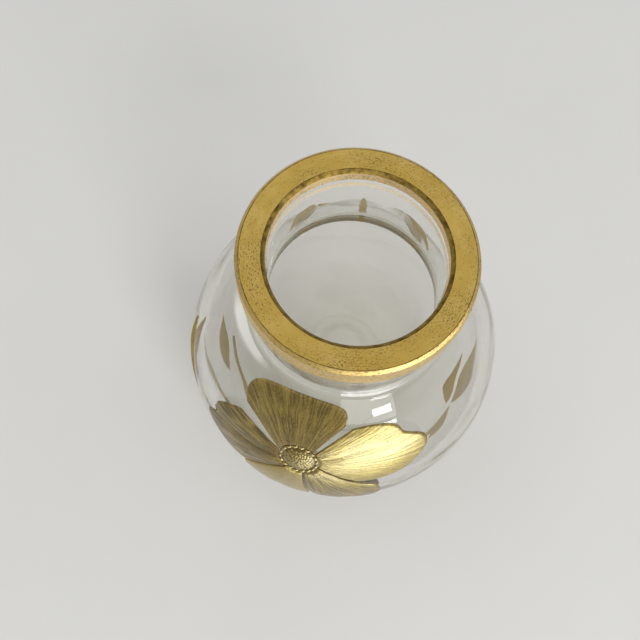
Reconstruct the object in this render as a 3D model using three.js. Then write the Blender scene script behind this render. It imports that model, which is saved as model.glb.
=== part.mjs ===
// A ball vase in clear blown glass, with a gilt collar rim and a raised gilt flower spray.
// Millimetres, +Z up. The origin is the centre of the foot on the table, and the flower faces -Y.

import * as THREE from 'three';

// Glass body
const ballRadius = 47; // widest outside radius
const ballHalfHeight = 51; // upright half axis of the outside ellipse
const ballWall = 4;
const floorThickness = 8; // glass under the lowest point of the inside
const footRadius = 23; // where the ball's curve is ground away
const footBevel = 0.8; // broken edge of the ground foot
const puntyRadius = 12; // polished hollow under the foot, where the rod was
const puntyDepth = 1;

// Neck and collar
const rimRadius = 30.2; // outside of the gilt collar
const collarHeight = 7; // from the collar's foot to the top of the gilt rim
const collarOverhang = 2.2; // how far the glass collar stands out from the neck
const neckLength = 17; // straight stretch between the collar and the shoulder
const neckWall = 4.8;
const shoulderFillet = 5; // outside, from the neck into the ball
const throatFillet = 11; // inside, from the bore into the ball
const rimBevel = 0.7; // outer edge of the glass lip
const rimChamfer = 1.3; // inner edge of the glass lip

// Gilding
const giltSeat = 0.15; // clearance between the glass and every gilt piece
const rimGilt = 0.35; // thickness of the gilding on the collar
const reliefEdge = 0.25; // thickness of a raised piece at its outline
const petalCrown = 0.35; // further height of a petal along its middle
const leafCrown = 0.25;
const stemCrown = 0.25;
const pieceGap = 0.4; // bare glass between the flower's neighbouring pieces

// Flower, laid out by distance over the glass and by compass bearing from its centre
const flowerLatitude = 23.8; // degrees above the widest ring
const flowerLongitude = -13.8; // degrees round from the front, to the right
const upperPetalLength = 28; // from the flower's centre to the petal's tip
const rightPetalLength = 39;
const leftPetalLength = 36.5;
const lowerPetalLength = 36.5;
const shoulderGap = 0.4; // bare glass between the gilding and the shoulder's fillet
const centreRadius = 4.9;
const centreCrown = 1.1;
const stamenWidth = 1;
const stamenBeads = 18;
const stamenCrown = 0.45;

// Leaves and stems
const broadLeaf = 5.6; // half widths
const wideLeaf = 5;
const middleLeaf = 3.6;
const slimLeaf = 2.4;
const budHalfWidth = 1.5;
const leafBase = 0.5;
const leafTip = 0.25;
const stemHalfWidth = 0.7;

// Faceting
const turnSegments = 56;
const ballFacet = THREE.MathUtils.degToRad(9);
const filletFacet = THREE.MathUtils.degToRad(20);

const glass = { color: 0xf4f6f5, roughness: 0.04, metalness: 0 };
const rimGold = { color: 0xc79f45, roughness: 0.35, metalness: 1 };
const flowerGold = { color: 0xb08d3c, roughness: 0.3, metalness: 1 };
const leafGold = { color: 0x9e7a3d, roughness: 0.45, metalness: 1 };

const lipGrowth = giltSeat + rimGilt;
const lipRadius = rimRadius - lipGrowth;
const neckRadius = lipRadius - collarOverhang;
const boreRadius = neckRadius - neckWall;
const insideRadius = ballRadius - ballWall;
const insideHalfHeight = ballHalfHeight - ballWall;
const meanRadius = (ballRadius + ballHalfHeight) / 2;
const footAngle = -Math.acos(footRadius / ballRadius);
const ballCentreHeight = footBevel - ballHalfHeight * Math.sin(footAngle);
const shoulder = ellipseFillet(neckRadius, shoulderFillet, ballRadius, ballHalfHeight);
const throat = ellipseFillet(boreRadius, throatFillet, insideRadius, insideHalfHeight);
const collarFoot = shoulder.z + neckLength + collarOverhang;
const lipTop = collarFoot + collarHeight - lipGrowth;

const vase = new THREE.Group();

function addPiece(name, geometry, finish) {
  const piece = new THREE.Mesh(geometry, new THREE.MeshStandardMaterial(finish));
  piece.name = name;
  vase.add(piece);
}

// Points of an ellipse's arc, one for each facet
function arc(x, z, radiusX, radiusZ, from, to, facet) {
  const steps = Math.ceil(Math.abs(to - from) / facet);
  const points = [];
  for (let step = 0; step <= steps; step += 1) {
    const angle = from + ((to - from) * step) / steps;
    points.push(new THREE.Vector2(x + radiusX * Math.cos(angle), z + radiusZ * Math.sin(angle)));
  }
  return points;
}

// Fillet between an upright wall and an ellipse on the axis, by halving the ellipse's angle
function ellipseFillet(wallRadius, radius, radiusX, radiusZ) {
  let low = 0;
  let high = Math.PI / 2;
  const normalAngle = (angle) => Math.atan2(Math.sin(angle) * radiusX, Math.cos(angle) * radiusZ);
  const halvings = 60;
  for (let round = 0; round < halvings; round += 1) {
    const middle = (low + high) / 2;
    const reach = radiusX * Math.cos(middle) + radius * Math.cos(normalAngle(middle));
    if (reach > wallRadius + radius) low = middle;
    else high = middle;
  }
  const turn = normalAngle(low);
  const centreHeight = ballCentreHeight + radiusZ * Math.sin(low) + radius * Math.sin(turn);
  return { angle: low, turn, x: wallRadius + radius, z: centreHeight, radius };
}

function filletArc(fillet, from, to) {
  return arc(fillet.x, fillet.z, fillet.radius, fillet.radius, from, to, filletFacet);
}

function revolve(profile) {
  const geometry = new THREE.LatheGeometry(profile, turnSegments);
  geometry.rotateX(Math.PI / 2);
  return geometry;
}

// The glass in section, from the hollow under the foot, up the outside and down the inside
function glassProfile() {
  const half = Math.PI;
  const quarter = Math.PI / 2;
  const puntyHeight = (share) => puntyDepth * (1 - share ** 2);
  const puntySteps = [0, 0.6, 1];
  const insideDepth = ballCentreHeight - floorThickness;
  const outside = arc(0, ballCentreHeight, ballRadius, ballHalfHeight, footAngle, shoulder.angle, ballFacet);
  const shoulderCurve = filletArc(shoulder, half + shoulder.turn, half);
  const underCollar = { x: lipRadius, z: collarFoot - collarOverhang, radius: collarOverhang };
  const cove = filletArc(underCollar, half, quarter);
  const throatCurve = filletArc(throat, half, half + throat.turn);
  const insideTop = arc(0, ballCentreHeight, insideRadius, insideHalfHeight, throat.angle, 0, ballFacet);
  const insideBottom = arc(0, ballCentreHeight, insideRadius, insideDepth, 0, -quarter, ballFacet);
  return [
    ...puntySteps.map((share) => new THREE.Vector2(share * puntyRadius, puntyHeight(share))),
    new THREE.Vector2(footRadius - footBevel, 0),
    ...outside,
    ...shoulderCurve.slice(1),
    ...cove,
    new THREE.Vector2(lipRadius, lipTop - rimBevel),
    new THREE.Vector2(lipRadius - rimBevel, lipTop),
    new THREE.Vector2(boreRadius + rimChamfer, lipTop),
    new THREE.Vector2(boreRadius, lipTop - rimChamfer),
    ...throatCurve,
    ...insideTop.slice(1),
    ...insideBottom.slice(1),
  ];
}

// The lip's outline from the collar's foot to the bore, grown by an even thickness
function lipOutline(growth) {
  const bevel = rimBevel + growth * (2 - Math.SQRT2);
  const chamferEdge = boreRadius + rimChamfer - growth * (Math.SQRT2 - 1);
  return [
    new THREE.Vector2(lipRadius + growth, collarFoot),
    new THREE.Vector2(lipRadius + growth, lipTop + growth - bevel),
    new THREE.Vector2(lipRadius + growth - bevel, lipTop + growth),
    new THREE.Vector2(chamferEdge, lipTop + growth),
    new THREE.Vector2(boreRadius, lipTop - rimChamfer + growth * Math.SQRT2),
  ];
}

function rimProfile() {
  const outside = lipOutline(lipGrowth);
  const inside = lipOutline(giltSeat);
  return [...outside, ...inside.reverse(), outside[0]];
}

// A direction from the ball's centre, by latitude and longitude in degrees
function direction(latitude, longitude) {
  const up = THREE.MathUtils.degToRad(latitude);
  const round = THREE.MathUtils.degToRad(longitude);
  return new THREE.Vector3(
    Math.cos(up) * Math.sin(round),
    -Math.cos(up) * Math.cos(round),
    Math.sin(up),
  );
}

// The point over the glass in a direction, lifted square to the surface
function overGlass(way, lift) {
  const normal = new THREE.Vector3(way.x / ballRadius, way.y / ballRadius, way.z / ballHalfHeight);
  const point = new THREE.Vector3(way.x * ballRadius, way.y * ballRadius, way.z * ballHalfHeight);
  point.z += ballCentreHeight;
  return point.addScaledVector(normal.normalize(), lift);
}

// A raised gilt piece: a grid over the glass, from its base to its tip and from side to side,
// closed by a flat underside and by walls. A ring joins its first and last columns.
function gildedPiece(rows, columns, place, relief, ring = false) {
  const across = ring ? columns : columns + 1;
  const positions = [];
  for (const raised of [false, true]) {
    for (let row = 0; row <= rows; row += 1) {
      for (let column = 0; column < across; column += 1) {
        const along = row / rows;
        const side = (2 * column) / columns - 1;
        const lift = giltSeat + (raised ? relief(along, side) : 0);
        positions.push(...overGlass(place(along, side), lift).toArray());
      }
    }
  }
  const layer = (rows + 1) * across;
  const under = (row, column) => row * across + (column % across);
  const over = (row, column) => layer + under(row, column);
  const faces = [];
  const addQuad = (a, b, c, d) => faces.push(a, b, c, a, c, d);
  const addWall = (from, to) => addQuad(from, to, to + layer, from + layer);
  for (let row = 0; row < rows; row += 1) {
    for (let column = 0; column < columns; column += 1) {
      addQuad(over(row, column), over(row, column + 1), over(row + 1, column + 1), over(row + 1, column));
      addQuad(under(row, column), under(row + 1, column), under(row + 1, column + 1), under(row, column + 1));
    }
    if (!ring) {
      addWall(under(row + 1, 0), under(row, 0));
      addWall(under(row, columns), under(row + 1, columns));
    }
  }
  for (let column = 0; column < columns; column += 1) {
    addWall(under(0, column), under(0, column + 1));
    addWall(under(rows, column + 1), under(rows, column));
  }
  const geometry = new THREE.BufferGeometry();
  geometry.setAttribute('position', new THREE.Float32BufferAttribute(positions, 3));
  geometry.setIndex(faces);
  geometry.computeVertexNormals();
  return geometry;
}

// Compass directions at the flower's centre
const flowerRise = THREE.MathUtils.degToRad(flowerLatitude);
const flowerOut = direction(flowerLatitude, flowerLongitude);
const flowerNorth = direction(flowerLatitude + 90, flowerLongitude);
const flowerEast = new THREE.Vector3().crossVectors(flowerNorth, flowerOut);

// The direction of a place on the flower, by distance over the glass and bearing in degrees
function fromFlower(distance, bearing) {
  const turn = THREE.MathUtils.degToRad(bearing);
  const angle = distance / meanRadius;
  return new THREE.Vector3()
    .addScaledVector(flowerOut, Math.cos(angle))
    .addScaledVector(flowerNorth, Math.sin(angle) * Math.cos(turn))
    .addScaledVector(flowerEast, Math.sin(angle) * Math.sin(turn));
}

const stamenInner = centreRadius + pieceGap;
const stamenOuter = stamenInner + stamenWidth;
const petalRoot = stamenOuter + pieceGap;

// Each petal spreads to both sides of its bearing, in degrees, and bends to another bearing and spread at
// its root, so that the five close up round the seed head. As shares of its length, its corners fall back
// by drop, its tip leans by slant and is notched at one side. A crease runs from the notch to the root, as
// a share of the crown.
const petals = [
  {
    name: 'petal_upper', length: upperPetalLength,
    bearing: -13.3, spread: 45, rootBearing: -18.5, rootSpread: 55,
    drop: 0.24, dropPower: 5, slant: -0.05, notch: 0, notchSide: 0, crease: 0,
  },
  {
    name: 'petal_right', length: rightPetalLength,
    bearing: 73, spread: 35.5, rootBearing: 71, rootSpread: 26.5,
    drop: 0.49, dropPower: 1.7, slant: -0.02, notch: 0.08, notchSide: -0.5, crease: 0.4,
  },
  {
    name: 'petal_lower_right', length: lowerPetalLength,
    bearing: 138, spread: 26.5, rootBearing: 129, rootSpread: 27,
    drop: 0.27, dropPower: 2.2, slant: 0, notch: 0.055, notchSide: 0.2, crease: 0.4,
  },
  {
    name: 'petal_lower_left', length: lowerPetalLength,
    bearing: 195, spread: 27, rootBearing: 184.5, rootSpread: 24,
    drop: 0.27, dropPower: 2.2, slant: 0, notch: 0.055, notchSide: -0.2, crease: 0.4,
  },
  {
    name: 'petal_left', length: leftPetalLength,
    bearing: -102, spread: 33, rootBearing: -113.5, rootSpread: 34.5,
    drop: 0.33, dropPower: 1.2, slant: -0.06, notch: 0.105, notchSide: 0.2, crease: 0.85,
  },
];
const rootBend = 4; // how soon a petal leaves its root's bearing and spread
const notchWidth = 0.16; // share of the half width
const petalRows = 9;
const petalColumns = 12;
const tipSoftness = 14; // how sharply a tip turns to follow the shoulder
const shoulderRise = (shoulder.angle - flowerRise) * meanRadius - shoulderGap;

// A tip's distance from the flower's centre, held below the shoulder's fillet
function belowShoulder(distance, bearing) {
  const northward = Math.cos(THREE.MathUtils.degToRad(bearing));
  if (northward <= 0) return distance;
  const toShoulder = shoulderRise / northward;
  return (distance ** -tipSoftness + toShoulder ** -tipSoftness) ** (-1 / tipSoftness);
}

function addPetal(petal) {
  const nearNotch = (side) => Math.exp(-(((side - petal.notchSide) / notchWidth) ** 2));
  const reach = (side) => {
    const corner = petal.drop * Math.abs(side) ** petal.dropPower;
    const tip = petal.length * (1 - corner - petal.notch * nearNotch(side) + petal.slant * side);
    return belowShoulder(tip, petal.bearing + side * petal.spread);
  };
  const place = (along, side) => {
    const nearRoot = (1 - along) ** rootBend;
    const bearing = THREE.MathUtils.lerp(petal.bearing, petal.rootBearing, nearRoot);
    const spread = THREE.MathUtils.lerp(petal.spread, petal.rootSpread, nearRoot);
    return fromFlower(petalRoot + along * (reach(side) - petalRoot), bearing + side * spread);
  };
  const relief = (along, side) => {
    const dome = (1 - side ** 4) * (1 - along ** 4);
    return reliefEdge + petalCrown * dome * (1 - petal.crease * nearNotch(side));
  };
  addPiece(petal.name, gildedPiece(petalRows, petalColumns, place, relief), flowerGold);
}

// The seed head: a square grid drawn out to a round dome
function addFlowerCentre() {
  const round = (along, side) => {
    const up = 2 * along - 1;
    return {
      north: centreRadius * up * Math.sqrt(1 - side ** 2 / 2),
      east: centreRadius * side * Math.sqrt(1 - up ** 2 / 2),
    };
  };
  const place = (along, side) => {
    const { north, east } = round(along, side);
    return fromFlower(Math.hypot(north, east), THREE.MathUtils.radToDeg(Math.atan2(east, north)));
  };
  const relief = (along, side) => {
    const { north, east } = round(along, side);
    return reliefEdge + centreCrown * (1 - (north ** 2 + east ** 2) / centreRadius ** 2);
  };
  const gridSteps = 10;
  addPiece('flower_centre', gildedPiece(gridSteps, gridSteps, place, relief), flowerGold);
}

// The ring of stamen beads round the seed head
function addStamenRing() {
  const place = (along, side) => fromFlower(stamenInner + along * stamenWidth, side * 180);
  const relief = (along, side) => {
    const bead = (1 + Math.cos(side * Math.PI * stamenBeads)) / 2;
    return reliefEdge + stamenCrown * bead * Math.sin(Math.PI * along);
  };
  const rows = 2;
  const columns = 4 * stamenBeads;
  addPiece('stamen_ring', gildedPiece(rows, columns, place, relief, true), flowerGold);
}

// A gilt stroke that follows a curve over the glass, with a half width along its length
function addStroke(name, route, halfWidth, crown, rows, columns) {
  const curve = new THREE.CatmullRomCurve3(route.map((point) => direction(...point)));
  const place = (along, side) => {
    const way = curve.getPoint(along).normalize();
    const sideways = new THREE.Vector3().crossVectors(curve.getTangent(along), way).normalize();
    return way.addScaledVector(sideways, (side * halfWidth(along)) / meanRadius).normalize();
  };
  const relief = (along, side) => reliefEdge + crown * (1 - side ** 2);
  addPiece(name, gildedPiece(rows, columns, place, relief), leafGold);
}

// A place on the back sprig, by degrees below the highest gilding and longitude
function hung(drop, longitude) {
  const highest = THREE.MathUtils.radToDeg(shoulder.angle - shoulderGap / meanRadius);
  return [highest - drop, longitude];
}

// Leaves and a bud, by latitude and longitude from base to tip
const leaves = [
  { name: 'leaf_right_outer', route: [[-19, 72], [-9, 84], [8, 97]], halfWidth: broadLeaf },
  { name: 'leaf_right_inner', route: [[-25.5, 73], [-26.5, 84], [-18.5, 97]], halfWidth: middleLeaf },
  { name: 'leaf_right_lower', route: [[-20, 44], [-20.5, 57], [-19.5, 70]], halfWidth: wideLeaf },
  { name: 'leaf_left_outer', route: [[-21, -56], [-9, -71], [6, -80], [22, -87.5]], halfWidth: wideLeaf },
  { name: 'leaf_left_inner', route: [[-28, -80], [-20, -92], [-13, -103]], halfWidth: wideLeaf },
  { name: 'back_leaf_left', route: [hung(22, -158), hung(11, -147), hung(1, -134)], halfWidth: slimLeaf },
  { name: 'back_leaf_right', route: [hung(24, 155), hung(12, 144), hung(1, 128)], halfWidth: slimLeaf },
  { name: 'back_bud', route: [hung(18, 177), hung(9, 177), hung(0.4, 177)], halfWidth: budHalfWidth },
];
const leafWidest = 0.43; // share of the length
const leafRows = 12;
const leafColumns = 4;

function addLeaf(leaf) {
  const halfWidth = (along) => {
    const swell = Math.sin(Math.PI * along ** (Math.log(0.5) / Math.log(leafWidest)));
    const ends = leafBase + along * (leafTip - leafBase);
    return Math.max(ends, leaf.halfWidth * swell);
  };
  addStroke(leaf.name, leaf.route, halfWidth, leafCrown, leafRows, leafColumns);
}

// Stems, by latitude and longitude along their route
const stems = [
  { name: 'flower_stalk', route: [[-16, -5], [-26, -6], [-38, -4]] },
  { name: 'stem_right', route: [[-33, -1], [-30, 14], [-24, 30], [-20.2, 42]] },
  { name: 'stem_left', route: [[-42, -8], [-42, -35], [-40, -60], [-37, -80], [-28, -99]] },
  { name: 'stem_left_upper', route: [[-33, -9], [-30, -25], [-25.5, -42], [-21.5, -54]] },
  { name: 'back_stem', route: [hung(45, 177), hung(33, 177), hung(19.5, 177)] },
  { name: 'back_stem_left', route: [hung(41, -179.3), hung(32, -171), hung(23, -159.5)] },
  { name: 'back_stem_right', route: [hung(41, 173.3), hung(32.5, 165), hung(25, 156.5)] },
];
const stemRows = 20;
const stemColumns = 2;

function addStem(stem) {
  addStroke(stem.name, stem.route, () => stemHalfWidth, stemCrown, stemRows, stemColumns);
}

addPiece('glass_body', revolve(glassProfile()), glass);
addPiece('rim_gilding', revolve(rimProfile()), rimGold);
petals.forEach(addPetal);
addFlowerCentre();
addStamenRing();
leaves.forEach(addLeaf);
stems.forEach(addStem);

export default vase;
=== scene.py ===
"""Looks of a ball vase in clear blown glass, with a worn gilt rim and a raised gilt flower spray.

Sizes are in metres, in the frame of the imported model: +Z up, with the flower on the -Y side.
"""

import math
from collections import namedtuple

import bpy
from bpy.props import FloatProperty, FloatVectorProperty, IntProperty, PointerProperty
from mathutils import Matrix, Vector, noise


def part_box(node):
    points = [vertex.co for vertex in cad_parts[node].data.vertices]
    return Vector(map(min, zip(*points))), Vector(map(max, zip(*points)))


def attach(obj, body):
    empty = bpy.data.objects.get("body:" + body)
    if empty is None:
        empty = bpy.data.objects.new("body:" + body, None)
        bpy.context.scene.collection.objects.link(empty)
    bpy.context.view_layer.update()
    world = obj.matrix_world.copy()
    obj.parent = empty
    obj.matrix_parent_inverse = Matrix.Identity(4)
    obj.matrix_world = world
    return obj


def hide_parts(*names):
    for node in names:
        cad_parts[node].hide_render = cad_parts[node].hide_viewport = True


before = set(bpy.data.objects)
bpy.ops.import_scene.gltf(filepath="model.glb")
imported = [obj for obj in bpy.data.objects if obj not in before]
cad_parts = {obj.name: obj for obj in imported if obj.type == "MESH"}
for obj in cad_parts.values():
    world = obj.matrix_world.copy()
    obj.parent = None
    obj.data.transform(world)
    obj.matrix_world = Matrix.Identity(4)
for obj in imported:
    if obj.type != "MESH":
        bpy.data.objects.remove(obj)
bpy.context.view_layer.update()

bl_info = {
    "name": "Gilt Glass Vase",
    "version": (1, 0, 0),
    "blender": (4, 5, 0),
    "location": "View3D > Sidebar > Vase",
    "description": "Builds a ball vase in clear glass with a gilt rim and a raised gilt flower spray",
    "category": "Add Mesh",
}

MM = 0.001
BODY = "root"
GILT = "gilt_"  # starts the name of a piece that stands for a gilt solid
BALL_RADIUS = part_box("glass_body")[1].x
RIM_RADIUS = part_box("rim_gilding")[1].x
RIM_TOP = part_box("rim_gilding")[1].z
COLLAR_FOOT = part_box("rim_gilding")[0].z
RIM_GILDING = 0.5 * MM


def length(name, description, default):
    """A size property in metres."""
    return FloatProperty(
        name=name, description=description, default=default, precision=5, unit="LENGTH", subtype="DISTANCE"
    )


def share(name, description, default):
    """A property for a part of a whole, or for a strength."""
    return FloatProperty(name=name, description=description, default=default, precision=3)


def watts(name, description, default):
    """A property for the power of a lamp."""
    return FloatProperty(
        name=name, description=description, default=default, precision=3, unit="POWER", subtype="POWER"
    )


def angle(name, description, degrees):
    """An angle property, given here in degrees."""
    return FloatProperty(
        name=name, description=description, default=math.radians(degrees), unit="ROTATION", subtype="ANGLE"
    )


def colour(name, description, default):
    """A linear colour property."""
    return FloatVectorProperty(
        name=name, description=description, default=default, size=3, min=0.0, max=1.0, subtype="COLOR"
    )


class VaseGlass(bpy.types.PropertyGroup):
    """Sizes and colours of the blown glass."""

    ball_radius: length("Ball radius", "Widest outside radius", BALL_RADIUS)
    ball_half_height: length("Ball half height", "Upright half axis of the outside ellipse", 51 * MM)
    wall: length("Wall", "Glass thickness of the ball", 4 * MM)
    floor: length("Floor", "Glass under the lowest point of the inside", 8 * MM)
    foot_radius: length("Foot radius", "Where the ball's curve is ground away", 23 * MM)
    foot_bevel: length("Foot bevel", "Broken edge of the ground foot", 0.8 * MM)
    punty_radius: length("Punty radius", "Polished hollow under the foot", 12 * MM)
    punty_depth: length("Punty depth", "Depth of the hollow under the foot", 1 * MM)
    lip_radius: length("Lip radius", "Outside of the glass collar", RIM_RADIUS - RIM_GILDING)
    lip_top: length("Lip top", "Height of the glass rim", RIM_TOP - RIM_GILDING)
    collar_foot: length("Collar foot", "Height where the collar starts", COLLAR_FOOT)
    collar_overhang: length("Collar overhang", "How far the collar stands out from the neck", 2.2 * MM)
    neck_wall: length("Neck wall", "Glass thickness of the neck", 4.8 * MM)
    shoulder_fillet: length("Shoulder fillet", "Outside curve from the neck into the ball", 5 * MM)
    throat_fillet: length("Throat fillet", "Inside curve from the bore into the ball", 5 * MM)
    rim_bevel: length("Rim bevel", "Outer edge of the glass lip", 0.7 * MM)
    rim_chamfer: length("Rim chamfer", "Inner edge of the glass lip", 1.3 * MM)
    ripple: length("Ripple", "Unevenness of the blown wall", 0.015 * MM)
    tint: colour("Tint", "Colour of the glass surface", (0.985, 0.987, 0.98))
    depth_tint: colour("Depth tint", "Colour that thick glass takes on", (0.80, 0.785, 0.71))
    depth: share("Depth", "How soon thick glass takes on its colour, per metre", 44.0)
    trapped_tint: colour("Trapped tint", "Light that runs about inside the glass", (0.72, 0.68, 0.60))


class VaseRim(bpy.types.PropertyGroup):
    """Sizes and colours of the gilding on the collar and in the bore."""

    thickness: length("Thickness", "How far the gilding stands out from the glass", RIM_GILDING)
    edge_radius: length("Edge radius", "Rounding of the gilding's edges", 0.22 * MM)
    # The darkening spreads from an edge, as painted shade at the chamfer and as a darker line along the
    # bevel's edge
    dirt_width: length("Dirt width", "How far dirt spreads from an edge", 0.3 * MM)
    wash_depth: length("Wash depth", "Height of the thin gilding inside the bore", 2.1 * MM)
    line_gap: length("Line gap", "Bare glass between the wash and the line below it", 1.6 * MM)
    line_width: length("Line width", "Width of the faint line inside the bore", 1.9 * MM)
    gold: colour("Gold", "Burnished gilding", (0.50, 0.335, 0.075))
    pale_gold: colour("Pale gold", "Rubbed patches of the gilding", (0.56, 0.39, 0.11))
    # The wash colour also paints the collar's side and bevel paler, as painted light
    wash: colour("Wash", "Thin gilding inside the bore", (0.95, 0.72, 0.38))
    # Glint: painted glints as bright grains over the rim's paler gilding, and the paler patches of the
    # bore's line
    glint: colour("Glint", "Bright grains on the collar's side", (0.95, 0.86, 0.70))
    # Patina is the dirt in the pits and stains, the painted shade on the inner chamfer, and the darker line
    # along the bevel's edge
    patina: colour("Patina", "Dirt in the pits and along the edges", (0.10, 0.07, 0.02))


class VaseFlower(bpy.types.PropertyGroup):
    """Sizes and colours of the raised gilt flower."""

    latitude: angle("Latitude", "Angle of the flower above the widest ring", 23.8)
    longitude: angle("Longitude", "Angle of the flower round from the front, to the right", -13.8)
    right_length: length("Right petal", "From the flower's centre to the tip", 39 * MM)
    left_length: length("Left petal", "From the flower's centre to the tip", 36.5 * MM)
    lower_length: length("Lower petals", "From the flower's centre to the tip", 36.5 * MM)
    upper_length: length("Upper petal", "From the flower's centre to the tip", 28 * MM)
    shoulder_gap: length("Shoulder gap", "Bare glass between the gilding and the shoulder", 0.4 * MM)
    edge: length("Edge", "Height of a raised piece near its outline", 0.4 * MM)
    crown: length("Crown", "Further height of a petal along its middle", 0.35 * MM)
    strand: length("Strand", "Height of the fine strands on a petal", 0.06 * MM)
    centre_radius: length("Seed head radius", "Radius of the seed head", 4.9 * MM)
    centre_crown: length("Seed head crown", "Height of the seed head's dome", 1.0 * MM)
    seed_radius: length("Seed radius", "Radius of one seed", 0.42 * MM)
    stamen_width: length("Stamen width", "Width of the ring of stamens", 1 * MM)
    stamen_crown: length("Stamen crown", "Height of a stamen's bead", 0.45 * MM)
    stamens: IntProperty(name="Stamens", description="Beads in the ring", default=18, min=3)
    gap: length("Gap", "Bare glass between the flower's pieces", 0.15 * MM)
    gold: colour("Gold", "Raised gilding on the strands", (0.42, 0.31, 0.085))
    # Shade is the gilding's darker tone between the strands and seeds, partly painted shade in the hollows
    shade: colour("Shade", "Gilding between the strands", (0.14, 0.098, 0.03))


class VaseSpray(bpy.types.PropertyGroup):
    """Sizes and colours of the gilt leaves and stems."""

    broad_leaf: length("Broad leaf", "Half width", 5.6 * MM)
    wide_leaf: length("Wide leaf", "Half width", 5 * MM)
    middle_leaf: length("Middle leaf", "Half width", 3.6 * MM)
    slim_leaf: length("Slim leaf", "Half width", 2.4 * MM)
    bud: length("Bud", "Half width", 1.5 * MM)
    leaf_base: length("Leaf base", "Half width at the base", 0.5 * MM)
    leaf_tip: length("Leaf tip", "Half width at the tip", 0.25 * MM)
    leaf_crown: length("Leaf crown", "Height of a leaf along its middle", 0.25 * MM)
    stem_half_width: length("Stem", "Half width of a stem", 0.7 * MM)
    gold: colour("Gold", "Thin matt gilding", (0.78, 0.56, 0.13))
    shade: colour("Shade", "Gilding between the leaves' veins", (0.30, 0.22, 0.07))


class VaseStage(bpy.types.PropertyGroup):
    """The floor, the light and the camera."""

    floor_size: length("Floor size", "Side of the floor", 6.0)
    floor_colour: colour("Floor", "Colour of the floor", (0.67, 0.665, 0.645))
    sky: colour("Sky", "Light from overhead", (0.92, 0.93, 0.95))
    horizon: colour("Horizon", "Light from the sides", (0.40, 0.385, 0.35))
    room: colour("Room", "Dim light from the front left", (0.55, 0.53, 0.46))
    window_power: watts("Window power", "The upper of two small panes at the front right", 0.117)
    card_power: watts("Card power", "The softbox that lies at the front right, for the flower", 0.42)
    fill_power: watts("Fill power", "The softbox that stands at the front right, for the flower", 0.19)
    sill_power: watts("Sill power", "The softbox that lies at the front right, for the glass", 0.36)
    side_power: watts("Side power", "The long softbox at the left, for the glass", 0.75)
    side_roll: angle("Side roll", "Tilt of the long softbox at the left", 21)
    side_feather: share("Side feather", "Share of that softbox's sides over which it fades", 0.25)
    front_power: watts("Front power", "The broad softbox at the front right, for the glass", 0.36)
    strip_power: watts("Strip power", "The long softbox at the front right, for the rim", 1.0)
    key_power: watts("Key power", "The high softbox, for everything", 4.5)
    daylight: colour("Daylight", "Colour of the flower's lamps", (0.75, 0.86, 1.0))
    camera_offset: FloatVectorProperty(
        name="Camera offset", description="Camera from the middle of the rim", size=3, unit="LENGTH",
        default=(-7.8 * MM, -87.77 * MM, 200.46 * MM),
    )
    camera_tilt: angle("Camera tilt", "Angle of the view from straight down", 19.31)
    camera_roll: angle("Camera roll", "Turn of the camera about its view", 5.35)
    camera_lens: share("Camera lens", "Focal length in millimetres on a 36 mm sensor", 50.625)


class VaseSettings(bpy.types.PropertyGroup):
    """All settings of the vase."""

    glass: PointerProperty(type=VaseGlass)
    rim: PointerProperty(type=VaseRim)
    flower: PointerProperty(type=VaseFlower)
    spray: PointerProperty(type=VaseSpray)
    stage: PointerProperty(type=VaseStage)


# Shapes in section

BALL_STEP = math.radians(1.5)
FILLET_STEP = math.radians(6)
PUNTY_STEPS = 12
CORNER_STEPS = 5
HALVINGS = 60  # enough to find an angle as closely as a number can hold it

Fillet = namedtuple("Fillet", "angle turn x z radius")


def arc(centre_x, centre_z, radius_x, radius_z, start, end, step):
    """Points of an ellipse's arc, as (radius, height)."""
    steps = math.ceil(abs(end - start) / step)
    turns = [start + (end - start) * i / steps for i in range(steps + 1)]
    return [(centre_x + radius_x * math.cos(t), centre_z + radius_z * math.sin(t)) for t in turns]


def fillet_arc(fillet, start, end):
    """Points of a fillet's round."""
    return arc(fillet.x, fillet.z, fillet.radius, fillet.radius, start, end, FILLET_STEP)


def ball_centre(glass):
    """Height of the ball's centre over the table."""
    rise = math.sqrt(1 - (glass.foot_radius / glass.ball_radius) ** 2)
    return glass.foot_bevel + glass.ball_half_height * rise


def neck_radius(glass):
    """Outside radius of the neck."""
    return glass.lip_radius - glass.collar_overhang


def bore_radius(glass):
    """Radius of the bore through the neck."""
    return neck_radius(glass) - glass.neck_wall


def ellipse_fillet(glass, wall_radius, radius, radius_x, radius_z):
    """The fillet between an upright wall and an ellipse on the axis, found by halving an angle."""
    low, high = 0.0, math.pi / 2

    def normal_turn(at):
        return math.atan2(math.sin(at) * radius_x, math.cos(at) * radius_z)

    for _ in range(HALVINGS):
        middle = (low + high) / 2
        reach = radius_x * math.cos(middle) + radius * math.cos(normal_turn(middle))
        if reach > wall_radius + radius:
            low = middle
        else:
            high = middle
    turn = normal_turn(low)
    height = ball_centre(glass) + radius_z * math.sin(low) + radius * math.sin(turn)
    return Fillet(low, turn, wall_radius + radius, height, radius)


def shoulder_of(glass):
    """The fillet from the neck into the ball, outside."""
    return ellipse_fillet(
        glass, neck_radius(glass), glass.shoulder_fillet, glass.ball_radius, glass.ball_half_height
    )


def rounded(points, radius):
    """The same open outline, with each inner corner rounded by a short curve."""
    smooth = [points[0]]
    for before, corner, after in zip(points, points[1:], points[2:]):
        at = Vector(corner)
        towards = [Vector(end) - at for end in (before, after)]
        cut = [at + way.normalized() * min(radius, way.length / 2) for way in towards]
        for i in range(CORNER_STEPS + 1):
            t = i / CORNER_STEPS
            smooth.append(tuple(cut[0] * (1 - t) ** 2 + at * 2 * t * (1 - t) + cut[1] * t**2))
    return smooth + [points[-1]]


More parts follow.
